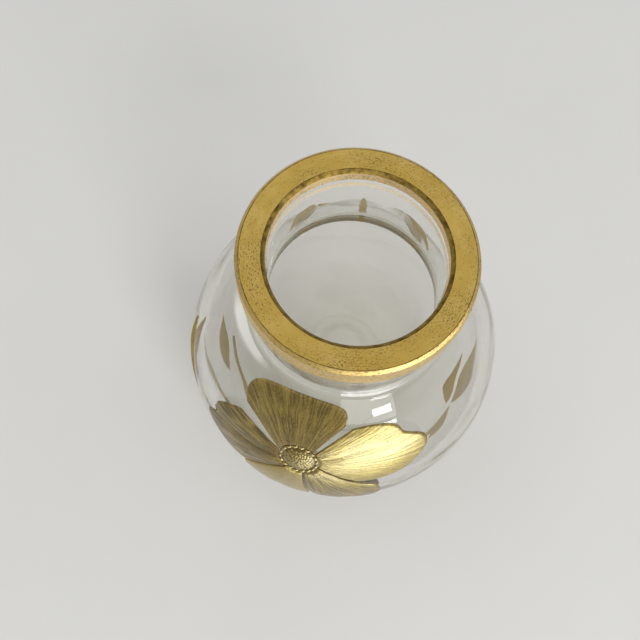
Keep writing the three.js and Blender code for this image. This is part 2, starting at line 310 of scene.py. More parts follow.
def lip_outline(glass, growth):
    """The lip's outline from the collar's foot to the bore, grown by an even thickness."""
    outer = glass.lip_radius + growth
    top = glass.lip_top + growth
    bore = bore_radius(glass)
    bevel = glass.rim_bevel + growth * (2 - math.sqrt(2))
    return [
        (outer, glass.collar_foot),
        (outer, top - bevel),
        (outer - bevel, top),
        (bore + glass.rim_chamfer - growth * (math.sqrt(2) - 1), top),
        (bore, glass.lip_top - glass.rim_chamfer + growth * math.sqrt(2)),
    ]


def glass_profile(glass):
    """The glass in section, from the hollow under the foot, up the outside and down the inside."""
    centre = ball_centre(glass)
    inside_radius = glass.ball_radius - glass.wall
    inside_half_height = glass.ball_half_height - glass.wall
    foot_turn = -math.acos(glass.foot_radius / glass.ball_radius)
    shoulder = shoulder_of(glass)
    throat = ellipse_fillet(
        glass, bore_radius(glass), glass.throat_fillet, inside_radius, inside_half_height
    )
    overhang = glass.collar_overhang
    under_collar = Fillet(0, 0, glass.lip_radius, glass.collar_foot - overhang, overhang)
    shares = [i / PUNTY_STEPS for i in range(PUNTY_STEPS + 1)]
    half, quarter = math.pi, math.pi / 2
    return [
        *[(s * glass.punty_radius, glass.punty_depth * (1 - s**2)) for s in shares],
        (glass.foot_radius - glass.foot_bevel, 0),
        *arc(0, centre, glass.ball_radius, glass.ball_half_height, foot_turn, shoulder.angle, BALL_STEP),
        *fillet_arc(shoulder, half + shoulder.turn, half)[1:],
        *fillet_arc(under_collar, half, quarter),
        *lip_outline(glass, growth=0)[1:],
        *fillet_arc(throat, half, half + throat.turn),
        *arc(0, centre, inside_radius, inside_half_height, throat.angle, 0, BALL_STEP)[1:],
        *arc(0, centre, inside_radius, centre - glass.floor, 0, -quarter, BALL_STEP)[1:],
    ]


# Meshes

TURN_STEPS = 240
ON_AXIS = 1e-7  # a smaller radius counts as a point on the axis
EDGE_TURN = math.radians(28)  # faces that meet at a larger angle have a sharp edge
RIPPLES = Vector((45, 45, 90))  # noise steps of the glass's unevenness for each metre
GILT_SUNK = 0.05 * MM  # gilding is fired into the glass, so its underside lies just inside the surface


def new_piece(name, points, faces, tones=None):
    """A smooth mesh object in the scene, with a tone for each point where one is given."""
    mesh = bpy.data.meshes.new(name)
    mesh.from_pydata([tuple(p) for p in points], [], faces)
    mesh.update()
    mesh.shade_smooth()
    mesh.set_sharp_from_angle(angle=EDGE_TURN)
    if tones:
        mesh.attributes.new("tone", "FLOAT", "POINT").data.foreach_set("value", tones)
    piece = bpy.data.objects.new(name, mesh)
    bpy.context.scene.collection.objects.link(piece)
    return piece


def finish_piece(piece, node, material):
    """Dresses a piece, rides it on the vase and lets it stand for its solid."""
    piece.data.materials.append(material)
    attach(piece, BODY)
    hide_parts(node)


def turned(name, profile, wobble=None, tones=None):
    """A closed body of revolution. Ends on the axis are single points."""
    points, rings, point_tones = [], [], []
    for i, (radius, height) in enumerate(profile):
        on_axis = radius < ON_AXIS
        ring = []
        for step in range(1 if on_axis else TURN_STEPS):
            turn = 2 * math.pi * step / TURN_STEPS
            at = Vector((radius * math.cos(turn), radius * math.sin(turn), height))
            if wobble and not on_axis:
                at += wobble(at)
            ring.append(len(points))
            points.append(at)
            point_tones.append(tones[i] if tones else 0.0)
        rings.append(ring)
    faces = []
    for low, high in zip(rings, rings[1:]):
        for step in range(TURN_STEPS):
            corners = [
                low[step % len(low)],
                low[(step + 1) % len(low)],
                high[(step + 1) % len(high)],
                high[step % len(high)],
            ]
            faces.append(list(dict.fromkeys(corners)))
    return new_piece(name, points, faces, point_tones if tones else None)


def direction(latitude, longitude):
    """A direction from the ball's centre, from angles in radians."""
    return Vector((
        math.cos(latitude) * math.sin(longitude),
        -math.cos(latitude) * math.cos(longitude),
        math.sin(latitude),
    ))


def over_glass(glass, way, lift):
    """The point over the glass in a direction, lifted square to the surface."""
    across, up = glass.ball_radius, glass.ball_half_height
    normal = Vector((way.x / across, way.y / across, way.z / up)).normalized()
    return Vector((way.x * across, way.y * across, way.z * up + ball_centre(glass))) + normal * lift


def gilded_piece(name, glass, rows, columns, place, relief, tone, ring=False):
    """A raised gilt piece: a grid over the glass, closed by a sunk underside and by walls."""
    across = columns if ring else columns + 1
    points, tones = [], []
    for raised in (False, True):
        for row in range(rows + 1):
            for column in range(across):
                along = row / rows
                side = 2 * column / columns - 1
                lift = relief(along, side) if raised else -GILT_SUNK
                points.append(over_glass(glass, place(along, side), lift))
                tones.append(tone(along, side) if raised else 1.0)
    layer = (rows + 1) * across
    faces = []

    def under(row, column):
        return row * across + column % across

    def add_wall(start, end):
        faces.append((start, end, end + layer, start + layer))

    for row in range(rows):
        for column in range(columns):
            quad = (
                under(row, column),
                under(row, column + 1),
                under(row + 1, column + 1),
                under(row + 1, column),
            )
            faces.append(tuple(corner + layer for corner in quad))
            faces.append(quad[::-1])
        if not ring:
            add_wall(under(row + 1, 0), under(row, 0))
            add_wall(under(row, columns), under(row + 1, columns))
    for column in range(columns):
        add_wall(under(0, column), under(0, column + 1))
        add_wall(under(rows, column + 1), under(rows, column))
    return new_piece(name, points, faces, tones)


# Relief that the gilt pieces share

ROLL = 0.035  # share of a raised piece over which its edge rolls down to the glass
ROLLED_HEIGHT = 0.3  # share of its height that is left at its outline
RIDGE_SHARPNESS = 2.2


def rolled_edge(along, side):
    """Falls from 1 towards the outline of a raised piece, as a rolled edge does."""
    near = min(1 - abs(side), along, 1 - along) / ROLL
    return ROLLED_HEIGHT + (1 - ROLLED_HEIGHT) * math.sin(min(near, 1) * math.pi / 2)


def ridge(x, y, z):
    """Thin ridges along the lines where a noise changes sign, from 0 between them to 1 along one."""
    return (1 - min(1, abs(noise.noise(Vector((x, y, z)))) * RIDGE_SHARPNESS)) ** 2


def mean_radius(glass):
    """Radius that turns distances over the glass into angles."""
    return (glass.ball_radius + glass.ball_half_height) / 2


# Petals

PETAL_ROWS = 80
PETAL_COLUMNS = 150
ROOT_BEND = 4  # how soon a petal leaves its root's bearing and spread
NOTCH_WIDTH = 0.16  # share of the half width
SCALLOP = 0.006  # unevenness of a petal's tip, as a share of its length
SCALLOPS = 6  # noise steps in each half of a petal's tip
TIP_SOFTNESS = 14  # how sharply a petal's tip turns to follow the shoulder
STRANDS = 19  # noise steps in each half of a petal
FINE_STRANDS = 2.6  # noise steps of the fine strands for each of those
STRAND_SHARE, FINE_SHARE = 0.7, 0.5  # heights of the two kinds
STRAND_BREAKS, FINE_BREAKS = 1.6, 3  # how often each kind breaks off along a petal
STRAND_SEED, FINE_SEED = 7, 13  # keep the noises apart
SWAY = 0.05  # how far the strands sway, as a share of the half width
SWAY_ACROSS, SWAY_ALONG = 3, 2.5  # how often they do

# Drop is how far a petal's corners fall back and slant how far its tip leans, both as shares of its length.
# The tone between a petal's strands is painted light and shade, set petal by petal. A petal that is lit
# catches the flower's own lamps.
Petal = namedtuple(
    "Petal",
    "name bearing spread root_bearing root_spread length drop drop_power slant "
    "notch notch_side crease shine lit",
)


def from_flower(glass, flower, distance, bearing):
    """The direction of a place on the flower, by distance over the glass and bearing in radians."""
    out = direction(flower.latitude, flower.longitude)
    north = direction(flower.latitude + math.pi / 2, flower.longitude)
    east = north.cross(out)
    reach = distance / mean_radius(glass)
    return out * math.cos(reach) + (north * math.cos(bearing) + east * math.sin(bearing)) * math.sin(reach)


def stamen_span(flower):
    """Inner and outer distance of the ring of stamens."""
    inner = flower.centre_radius + flower.gap
    return inner, inner + flower.stamen_width


def petals_of(flower):
    """The five petals, with bearings and spreads in degrees."""
    # Each petal's tone between its strands is painted light and shade, lighter on some petals and darker on
    # others
    return [
        Petal(
            name="petal_upper", bearing=-13.3, spread=45, root_bearing=-18.5, root_spread=55,
            length=flower.upper_length, drop=0.24, drop_power=5, slant=-0.05,
            notch=0, notch_side=0, crease=0, shine=0.1, lit=False,
        ),
        Petal(
            name="petal_right", bearing=73, spread=35.5, root_bearing=71, root_spread=26.5,
            length=flower.right_length, drop=0.49, drop_power=1.7, slant=-0.02,
            notch=0.08, notch_side=-0.36, crease=0.4, shine=0.35, lit=True,
        ),
        Petal(
            name="petal_lower_right", bearing=138, spread=26.5, root_bearing=129, root_spread=27,
            length=flower.lower_length, drop=0.27, drop_power=2.2, slant=0,
            notch=0.055, notch_side=0.2, crease=0.4, shine=-0.25, lit=True,
        ),
        Petal(
            name="petal_lower_left", bearing=195, spread=27, root_bearing=184.5, root_spread=24,
            length=flower.lower_length, drop=0.27, drop_power=2.2, slant=0,
            notch=0.055, notch_side=-0.2, crease=0.4, shine=0.9, lit=True,
        ),
        Petal(
            name="petal_left", bearing=-102, spread=33, root_bearing=-113.5, root_spread=34.5,
            length=flower.left_length, drop=0.33, drop_power=1.2, slant=-0.06,
            notch=0.105, notch_side=0.2, crease=0.85, shine=-0.25, lit=False,
        ),
    ]


def strand_height(side, along, seed):
    """Fine strands that fan out from a petal's root, from 0 between them to 1 along one."""
    sway = SWAY * noise.noise(Vector((side * SWAY_ACROSS, along * SWAY_ALONG, seed)))
    across = (side + sway) * STRANDS
    broad = ridge(across, along * STRAND_BREAKS, seed + STRAND_SEED)
    fine = ridge(across * FINE_STRANDS, along * FINE_BREAKS, seed + FINE_SEED)
    return min(1, STRAND_SHARE * broad + FINE_SHARE * fine)


def make_petal(name, glass, flower, petal, seed):
    """One petal: a fan with a notched tip, a crease from the notch to the root, and fine strands."""
    root = stamen_span(flower)[1] + flower.gap
    rise = (shoulder_of(glass).angle - flower.latitude) * mean_radius(glass) - flower.shoulder_gap

    def near_notch(side):
        return math.exp(-(((side - petal.notch_side) / NOTCH_WIDTH) ** 2))

    def reach(side):
        corner = petal.drop * abs(side) ** petal.drop_power
        scallop = SCALLOP * noise.noise(Vector((side * SCALLOPS, seed, 0)))
        free = petal.length * (1 - corner - petal.notch * near_notch(side) + petal.slant * side + scallop)
        northward = math.cos(math.radians(petal.bearing + side * petal.spread))
        if northward <= 0:
            return free
        to_shoulder = rise / northward
        return (free**-TIP_SOFTNESS + to_shoulder**-TIP_SOFTNESS) ** (-1 / TIP_SOFTNESS)

    def place(along, side):
        near_root = (1 - along) ** ROOT_BEND
        bearing = petal.bearing + near_root * (petal.root_bearing - petal.bearing)
        spread = petal.spread + near_root * (petal.root_spread - petal.spread)
        distance = root + along * (reach(side) - root)
        return from_flower(glass, flower, distance, math.radians(bearing + side * spread))

    def relief(along, side):
        dome = (1 - side**4) * (1 - along**4)
        crown = flower.crown * dome * (1 - petal.crease * near_notch(side))
        strand = flower.strand * strand_height(side, along, seed)
        return (flower.edge + crown + strand) * rolled_edge(along, side)

    def tone(along, side):
        # The petal's painted light and shade between its strands. The strands are lighter than the grooves
        # between them, partly as painted shade
        return petal.shine + (1 - petal.shine) * strand_height(side, along, seed)

    return gilded_piece(name, glass, PETAL_ROWS, PETAL_COLUMNS, place, relief, tone)


# Seed head and stamens

SEED_GRID = 72
SEED_PACKING = 0.8  # share of the seed head that its seeds would cover, laid side by side
SEED_HEIGHT = 0.3  # share of a seed's radius
SEED_STRAY = 0.73  # noise steps from one seed to the next
STRAY_SEED = 1  # without it the vector noise starts from the clock
SEED_HEAD_EDGE, STAMEN_EDGE = 0.6, 0.5  # shares of a raised piece's edge
STAMEN_ROWS = 12
BEAD_COLUMNS = 16


def make_seed_head(name, glass, flower):
    """The seed head: a dome stippled with seeds on a spiral."""
    golden_turn = math.pi * (3 - math.sqrt(5))
    count = int(SEED_PACKING * (flower.centre_radius / flower.seed_radius) ** 2)
    noise.seed_set(STRAY_SEED)
    seeds = []
    for i in range(count):
        distance = (flower.centre_radius - flower.seed_radius) * math.sqrt((i + 0.5) / count)
        turn = i * golden_turn
        stray = noise.noise_vector(Vector((i * SEED_STRAY, 0, 0))).xy * flower.seed_radius
        seeds.append(Vector((distance * math.cos(turn), distance * math.sin(turn))) + stray)

    def spread(along, side):
        up = 2 * along - 1
        east = flower.centre_radius * side * math.sqrt(1 - up**2 / 2)
        north = flower.centre_radius * up * math.sqrt(1 - side**2 / 2)
        return Vector((east, north))

    def place(along, side):
        at = spread(along, side)
        return from_flower(glass, flower, at.length, math.atan2(at.x, at.y))

    def seed_height(along, side):
        at = spread(along, side)
        nearest = min((at - seed).length_squared for seed in seeds)
        return max(0, 1 - nearest / flower.seed_radius**2)

    def relief(along, side):
        dome = 1 - spread(along, side).length_squared / flower.centre_radius**2
        seed = flower.seed_radius * SEED_HEIGHT * seed_height(along, side)
        return flower.edge * SEED_HEAD_EDGE + flower.centre_crown * dome + seed

    # The seeds' tops are lighter than the hollows between them, partly as painted shade
    return gilded_piece(name, glass, SEED_GRID, SEED_GRID, place, relief, seed_height)


def make_stamen_ring(name, glass, flower):
    """The ring of stamen beads round the seed head."""
    inner, outer = stamen_span(flower)

    def place(along, side):
        return from_flower(glass, flower, inner + along * (outer - inner), side * math.pi)

    def bead(along, side):
        round_bead = (1 + math.cos(side * math.pi * flower.stamens)) / 2
        return math.sqrt(round_bead * math.sin(math.pi * along))

    def relief(along, side):
        return flower.edge * STAMEN_EDGE + flower.stamen_crown * bead(along, side)

    columns = BEAD_COLUMNS * flower.stamens
    # The beads are lighter than the gaps between them, partly as painted shade
    return gilded_piece(name, glass, STAMEN_ROWS, columns, place, relief, bead, ring=True)


# Leaves and stems, by latitude and longitude in degrees

Stroke = namedtuple("Stroke", "name route")
Leaf = namedtuple("Leaf", "name route width")

LEAVES = [
    Leaf("leaf_right_outer", ((-19, 72), (-9, 84), (8, 97)), "broad_leaf"),
    Leaf("leaf_right_inner", ((-25.5, 73), (-26.5, 84), (-18.5, 97)), "middle_leaf"),
    Leaf("leaf_right_lower", ((-20, 44), (-20.5, 57), (-19.5, 70)), "wide_leaf"),
    Leaf("leaf_left_outer", ((-21, -56), (-9, -71), (6, -80), (22, -87.5)), "wide_leaf"),
    Leaf("leaf_left_inner", ((-28, -80), (-20, -92), (-13, -103)), "wide_leaf"),
]
STEMS = [
    Stroke("flower_stalk", ((-16, -5), (-26, -6), (-38, -4))),
    Stroke("stem_right", ((-33, -1), (-30, 14), (-24, 30), (-20.2, 42))),
    Stroke("stem_left", ((-42, -8), (-42, -35), (-40, -60), (-37, -80), (-28, -99))),
    Stroke("stem_left_upper", ((-33, -9), (-30, -25), (-25.5, -42), (-21.5, -54))),
]

# The back sprig, by degrees below the highest gilding and longitude

BACK_LEAVES = [
    Leaf("back_leaf_left", ((22, -158), (11, -147), (1, -134)), "slim_leaf"),
    Leaf("back_leaf_right", ((24, 155), (12, 144), (1, 128)), "slim_leaf"),
    Leaf("back_bud", ((18, 177), (9, 177), (0.4, 177)), "bud"),
]
BACK_STEMS = [
    Stroke("back_stem", ((45, 177), (33, 177), (19.5, 177))),
    Stroke("back_stem_left", ((41, -179.3), (32, -171), (23, -159.5))),
    Stroke("back_stem_right", ((41, 173.3), (32.5, 165), (25, 156.5))),
]

LEAF_WIDEST = 0.43  # share of the length
LEAF_ROWS, LEAF_COLUMNS = 60, 20
STEM_ROWS, STEM_COLUMNS = 80, 8
VEINS_ALONG, VEINS_ACROSS = 27, 2  # noise steps over a leaf's length and its half width
VEIN_SLANT = 4.2  # noise steps by which a vein leans towards the tip at the leaf's edge
LEAF_TONE, VEIN_TONE = 0.1, 0.5
SPINE_WIDTH = 0.14  # share of the half width
SPINE_DEPTH = 0.35  # share of the leaf's height


def hung(glass, flower, strokes):
    """The back sprig's strokes, with their routes by latitude and longitude."""
    highest = math.degrees(shoulder_of(glass).angle - flower.shoulder_gap / mean_radius(glass))

    def lowered(route):
        return [(highest - drop, turn) for drop, turn in route]

    return [stroke._replace(route=lowered(stroke.route)) for stroke in strokes]


def along_route(route, share_along):
    """The point and the forward direction on a smooth curve through a route's directions."""
    knots = [direction(math.radians(up), math.radians(turn)) for up, turn in route]
    knots = [2 * knots[0] - knots[1]] + knots + [2 * knots[-1] - knots[-2]]
    last = len(route) - 2
    span = min(int(share_along * (last + 1)), last)
    t = share_along * (last + 1) - span
    a, b, c, d = knots[span : span + 4]
    bend = (2 * a - 5 * b + 4 * c - d) * t**2 + (3 * b - a - 3 * c + d) * t**3
    slope = (2 * a - 5 * b + 4 * c - d) * 2 * t + (3 * b - a - 3 * c + d) * 3 * t**2
    return ((2 * b + (c - a) * t + bend) / 2).normalized(), ((c - a + slope) / 2).normalized()


def make_stroke(name, glass, route, half_width, height, rows, columns):
    """A gilt stroke that follows a route over the glass, with a sunk spine and fine veins."""
    seed = len(name)

    def place(along, side):
        way, forward = along_route(route, along)
        sideways = forward.cross(way).normalized()
        return (way + sideways * (side * half_width(along) / mean_radius(glass))).normalized()

    def relief(along, side):
        spine = math.exp(-((side / SPINE_WIDTH) ** 2))
        swell = 1 - side**2
        return (height + height * swell - SPINE_DEPTH * height * spine) * rolled_edge(along, side)

    def tone(along, side):
        slanted = along * VEINS_ALONG - abs(side) * VEIN_SLANT
        return LEAF_TONE + VEIN_TONE * ridge(slanted, side * VEINS_ACROSS, seed)

    return gilded_piece(name, glass, rows, columns, place, relief, tone)


def make_leaf(name, glass, spray, leaf):
    """A pointed leaf, widest a little below its middle."""
    widest = getattr(spray, leaf.width)

    def half_width(along):
        swell = math.sin(math.pi * along ** (math.log(0.5) / math.log(LEAF_WIDEST)))
        ends = spray.leaf_base + along * (spray.leaf_tip - spray.leaf_base)
        return max(ends, widest * swell)

    return make_stroke(name, glass, leaf.route, half_width, spray.leaf_crown, LEAF_ROWS, LEAF_COLUMNS)


def make_stem(name, glass, spray, stem):
    """A stem of even width."""

    def half_width(_along):
        return spray.stem_half_width

    return make_stroke(name, glass, stem.route, half_width, spray.leaf_crown, STEM_ROWS, STEM_COLUMNS)


# Shader nodes


def add_node(tree, kind, values=None, **settings):
    """A shader node with its settings and the values of its input sockets."""
    node = tree.nodes.new(kind)
    for key, value in settings.items():
        setattr(node, key, value)
    for key, value in (values or {}).items():
        node.inputs[key].default_value = value
    return node


def opaque(rgb):
    """A colour with full alpha."""
    return (*rgb, 1.0)


def dimmed(rgb, part):
    """A colour brought down to that part of its brightness."""
    return tuple(part * channel for channel in rgb)


def mix_colours(tree, factor, first, second):
    """The colour output of a mix of two colours, each a fixed colour or an output socket."""
    mix = add_node(tree, "ShaderNodeMix", data_type="RGBA")
    tree.links.new(factor, mix.inputs["Factor"])
    for key, value in (("A", first), ("B", second)):
        socket = next(s for s in mix.inputs if s.name == key and s.type == "RGBA")
        if isinstance(value, bpy.types.NodeSocket):
            tree.links.new(value, socket)
        else:
            socket.default_value = opaque(value)
    return next(s for s in mix.outputs if s.type == "RGBA")


def map_value(tree, value, low, high, to_low=0.0, to_high=1.0):
    """A value mapped from one range to another, and held inside it."""
    node = add_node(
        tree, "ShaderNodeMapRange",
        {"From Min": low, "From Max": high, "To Min": to_low, "To Max": to_high},
    )
    tree.links.new(value, node.inputs["Value"])
    return node.outputs["Result"]


def combine(tree, operation, first, second):
    """A math node on two values, each an output socket or a number."""
    node = add_node(tree, "ShaderNodeMath", operation=operation)
    for i, value in enumerate((first, second)):
        if isinstance(value, bpy.types.NodeSocket):
            tree.links.new(value, node.inputs[i])
        else:
            node.inputs[i].default_value = value
    return node.outputs[0]


def split(tree, vector):
    """The X, Y and Z outputs of a vector."""
    parts = add_node(tree, "ShaderNodeSeparateXYZ")
    tree.links.new(vector, parts.inputs["Vector"])
    return parts.outputs


def object_place(tree):
    """The place on the object, in metres."""
    return add_node(tree, "ShaderNodeTexCoord").outputs["Object"]


def tone_of(tree):
    """The tone of the mesh's points."""
    return add_node(tree, "ShaderNodeAttribute", attribute_name="tone").outputs["Fac"]


def noise_value(tree, vector, scale, detail=2.0, stretch=None):
    """A noise texture's value, on a vector that may be stretched."""
    if stretch:
        mapping = add_node(tree, "ShaderNodeMapping", {"Scale": stretch})
        tree.links.new(vector, mapping.inputs["Vector"])
        vector = mapping.outputs["Vector"]
    texture = add_node(tree, "ShaderNodeTexNoise", {"Scale": scale, "Detail": detail, "Roughness": 0.6})
    tree.links.new(vector, texture.inputs["Vector"])
    return texture.outputs["Fac"]


def add_bump(tree, height, shader, strength, distance):
    """A bump that feeds the shader's normal."""
    bump = add_node(tree, "ShaderNodeBump", {"Strength": strength, "Distance": distance})
    tree.links.new(height, bump.inputs["Height"])
    tree.links.new(bump.outputs["Normal"], shader.inputs["Normal"])


def new_material(name):
    """An empty node material and its output node."""
    material = bpy.data.materials.new(name)
    material.use_nodes = True
    material.node_tree.nodes.clear()
    return material, add_node(material.node_tree, "ShaderNodeOutputMaterial")


def new_finish(name, values):
    """A material of one shader with those values, and that shader."""
    material, output = new_material(name)
    shader = add_node(material.node_tree, "ShaderNodeBsdfPrincipled", values)
    material.node_tree.links.new(shader.outputs["BSDF"], output.inputs["Surface"])
    return material, shader


# Wear of the gilding

PIT_LEVEL = 0.67  # noise above this is a pit
DRIFT_PULL = 0.16  # how far a drift lowers that level
PIT_EDGE = 0.035  # noise over which a pit's edge darkens
RUBBED_HEIGHT = 0.25  # of the unevenness, beside a pit's depth of 1
TURNING_SQUEEZE = 0.5  # of the way round the axis, so that marks are drawn out along it


def round_the_axis(tree, where, radius):
    """Coordinates unrolled round the axis, so that marks lie along the turning."""
    parts = split(tree, where)
    turn = combine(tree, "ARCTAN2", parts["Y"], parts["X"])
    squares = [combine(tree, "MULTIPLY", parts[axis], parts[axis]) for axis in "XY"]
    out = combine(tree, "POWER", combine(tree, "ADD", *squares), 0.5)
    unrolled = add_node(tree, "ShaderNodeCombineXYZ")
    tree.links.new(combine(tree, "MULTIPLY", turn, radius * TURNING_SQUEEZE), unrolled.inputs["X"])
    tree.links.new(out, unrolled.inputs["Y"])
    tree.links.new(parts["Z"], unrolled.inputs["Z"])
    return unrolled.outputs["Vector"]


def worn_gilding_group():
    """The shared wear of the gilding: dark pits in drifts, rubbed patches and a fine uneven height."""
    group = bpy.data.node_groups.get("worn_gilding")
    if group:
        return group
    group = bpy.data.node_groups.new("worn_gilding", "ShaderNodeTree")
    face = group.interface
    face.new_socket("Vector", in_out="INPUT", socket_type="NodeSocketVector")
    for name, default in (("Pit Scale", 2400.0), ("Drift Scale", 90.0), ("Pits", 0.5)):
        face.new_socket(name, in_out="INPUT", socket_type="NodeSocketFloat").default_value = default
    for name in ("Pit Mask", "Stain Mask", "Rubbed Mask", "Height"):
        face.new_socket(name, in_out="OUTPUT", socket_type="NodeSocketFloat")
    inputs = group.nodes.new("NodeGroupInput")
    outputs = group.nodes.new("NodeGroupOutput")
    pit = add_node(group, "ShaderNodeTexNoise", {"Detail": 1.5, "Roughness": 0.55})
    drift = add_node(group, "ShaderNodeTexNoise", {"Detail": 4.0, "Roughness": 0.65})
    rubbed = add_node(group, "ShaderNodeTexNoise", {"Scale": 220.0, "Detail": 5.0, "Roughness": 0.7})
    for texture in (pit, drift, rubbed):
        group.links.new(inputs.outputs["Vector"], texture.inputs["Vector"])
    group.links.new(inputs.outputs["Pit Scale"], pit.inputs["Scale"])
    group.links.new(inputs.outputs["Drift Scale"], drift.inputs["Scale"])
    drifts = map_value(group, drift.outputs["Fac"], 0.42, 0.72)
    reach = combine(group, "MULTIPLY", drifts, inputs.outputs["Pits"])
    level = combine(group, "SUBTRACT", PIT_LEVEL, combine(group, "MULTIPLY", reach, DRIFT_PULL))
    above = combine(group, "SUBTRACT", pit.outputs["Fac"], level)
    pit_mask = map_value(group, above, 0.0, PIT_EDGE)
    stain = combine(group, "MULTIPLY", drifts, map_value(group, pit.outputs["Fac"], 0.4, 0.6))
    uneven = combine(group, "MULTIPLY", rubbed.outputs["Fac"], RUBBED_HEIGHT)
    results = {
        "Pit Mask": pit_mask,
        "Stain Mask": stain,
        "Rubbed Mask": map_value(group, rubbed.outputs["Fac"], 0.45, 0.65),
        "Height": combine(group, "SUBTRACT", uneven, pit_mask),
    }
    for name, result in results.items():
        group.links.new(result, outputs.inputs[name])
    return group


def add_wear(tree, vector, pit_scale, drift_scale, pits):
    """The outputs of the wear group, placed in a material with its own values."""
    values = {"Pit Scale": pit_scale, "Drift Scale": drift_scale, "Pits": pits}
    wear = add_node(tree, "ShaderNodeGroup", values, node_tree=worn_gilding_group())
    tree.links.new(vector, wear.inputs["Vector"])
    return wear.outputs


# Finishes

CLEAR = (1.0, 1.0, 0.995)  # tint of light that passes straight through the glass to other surfaces
PIT_SHADE = 0.35  # brightness of a pit in raised gilding, beside the dull gilding
DULLNESS = 0.14  # how much rougher raised gilding is between its strands
FLOOR_MOTTLE = 0.94  # brightness of the floor's darker patches

# Tones of the rim: below 0 the gilding is paler, as the thin wash in the bore and as painted light on the
# collar's side and bevel, and above 0 it is darker, as painted shade on the inner chamfer and as a line
# along the bevel's edge

WASHED = -1.0
# The collar's side and the bevel are painted paler, as painted light
SIDE_TONE = -0.5
BEVEL_TONE = -0.25
# The inner chamfer is darkened as painted shade
CHAMFER_TONE = 0.67
EDGE_TONE = 0.3  # more painted shade along the chamfer's edge
BRIGHT_BEVEL = 0.3  # on the bevel, less edge darkening than this leaves it painted paler, as painted light
RIM_PITS, RIM_STAINS = 0.7, 0.45  # how dark they are
WASH_ROUGHNESS = 0.7  # beside 1 where the rim is darkened


def glass_material(glass):
    """Clear blown glass, a little uneven, that lets the lamps' light through."""
    material, output = new_material("blown_glass")
    tree = material.node_tree
    shader = add_node(
        tree, "ShaderNodeBsdfPrincipled",
        {"Base Color": opaque(glass.tint), "Transmission Weight": 1.0, "IOR": 1.5, "Metallic": 0.0},
    )
    where = object_place(tree)
    film = noise_value(tree, where, scale=60.0, detail=4.0)
    tree.links.new(map_value(tree, film, 0.5, 0.8, to_high=0.05), shader.inputs["Roughness"])
    waves = noise_value(tree, where, scale=90.0, detail=0.0, stretch=(1.0, 1.0, 1.6))
    add_bump(tree, waves, shader, strength=0.12, distance=1 * MM)
    path = add_node(tree, "ShaderNodeLightPath")
    trapped = map_value(tree, path.outputs["Glossy Depth"], 1.5, 2.5)
    ways = (
        (path.outputs["Is Shadow Ray"], CLEAR),
        (path.outputs["Is Diffuse Ray"], CLEAR),
        (trapped, glass.trapped_tint),
    )
    surface = shader.outputs["BSDF"]
    for passing, tint in ways:
        clear = add_node(tree, "ShaderNodeBsdfTransparent", {"Color": opaque(tint)})
        mix = add_node(tree, "ShaderNodeMixShader")
        tree.links.new(passing, mix.inputs["Fac"])
        tree.links.new(surface, mix.inputs[1])
        tree.links.new(clear.outputs["BSDF"], mix.inputs[2])
        surface = mix.outputs["Shader"]
    tree.links.new(surface, output.inputs["Surface"])
    depth = add_node(
        tree, "ShaderNodeVolumeAbsorption", {"Color": opaque(glass.depth_tint), "Density": glass.depth}
    )
    tree.links.new(depth.outputs["Volume"], output.inputs["Volume"])
    return material


def rim_material(rim):
    """Burnished gilding, pitted in drifts, with painted shade on the inner chamfer and a darker line along
    the bevel's edge, and painted paler with painted glints on the collar's side and bevel.
    """
    material, shader = new_finish("rim_gilding", {"Metallic": 1.0})
    tree = material.node_tree
    where = object_place(tree)
    unrolled = round_the_axis(tree, where, RIM_RADIUS)
    wear = add_wear(tree, unrolled, pit_scale=2900.0, drift_scale=95.0, pits=0.62)
    tone = tone_of(tree)
    # Painted shade on the inner chamfer and a darker line along the bevel's edge, with an uneven boundary
    edge_noise = noise_value(tree, where, scale=500.0, detail=3.0)
    shift = map_value(tree, edge_noise, 0.3, 0.7, to_low=-0.15, to_high=0.15)
    chamfer_shade_and_edge_line = map_value(tree, combine(tree, "ADD", tone, shift), 0.45, 0.85)
    stains = combine(tree, "MULTIPLY", wear["Stain Mask"], RIM_STAINS)
    pits = combine(tree, "MULTIPLY", wear["Pit Mask"], RIM_PITS)
    dark = combine(tree, "MAXIMUM", combine(tree, "MAXIMUM", pits, stains), chamfer_shade_and_edge_line)
    # Paler gilding: the thin wash in the bore, and painted light on the collar's side and bevel
    wash_and_painted_pale = map_value(tree, tone, 0.0, WASHED)
    # Painted glints as bright grains over the paler gilding
    painted_glint_grains = map_value(tree, noise_value(tree, where, scale=2200.0), 0.5, 0.68)
    base = mix_colours(tree, wear["Rubbed Mask"], rim.gold, rim.pale_gold)
    base = mix_colours(tree, wash_and_painted_pale, base, rim.wash)
    base = mix_colours(tree, combine(tree, "MULTIPLY", painted_glint_grains, wash_and_painted_pale), base, rim.glint)
    base = mix_colours(tree, dark, base, rim.patina)
    tree.links.new(base, shader.inputs["Base Color"])
    rough = combine(tree, "MAXIMUM", dark, combine(tree, "MULTIPLY", wash_and_painted_pale, WASH_ROUGHNESS))
    tree.links.new(map_value(tree, rough, 0.0, 1.0, to_low=0.33, to_high=0.7), shader.inputs["Roughness"])
    add_bump(tree, wear["Height"], shader, strength=0.25, distance=0.1 * MM)
    return material


def line_material(rim):
    """The faint gilt line inside the bore, which the glass shows through."""
    material, shader = new_finish("bore_line", {"Metallic": 0.0, "Roughness": 0.5})
    tree = material.node_tree
    worn = noise_value(tree, object_place(tree), scale=260.0, detail=4.0)
    tree.links.new(mix_colours(tree, worn, rim.wash, rim.glint), shader.inputs["Base Color"])
    tree.links.new(map_value(tree, worn, 0.35, 0.65, to_low=0.5, to_high=0.25), shader.inputs["Alpha"])
    return material


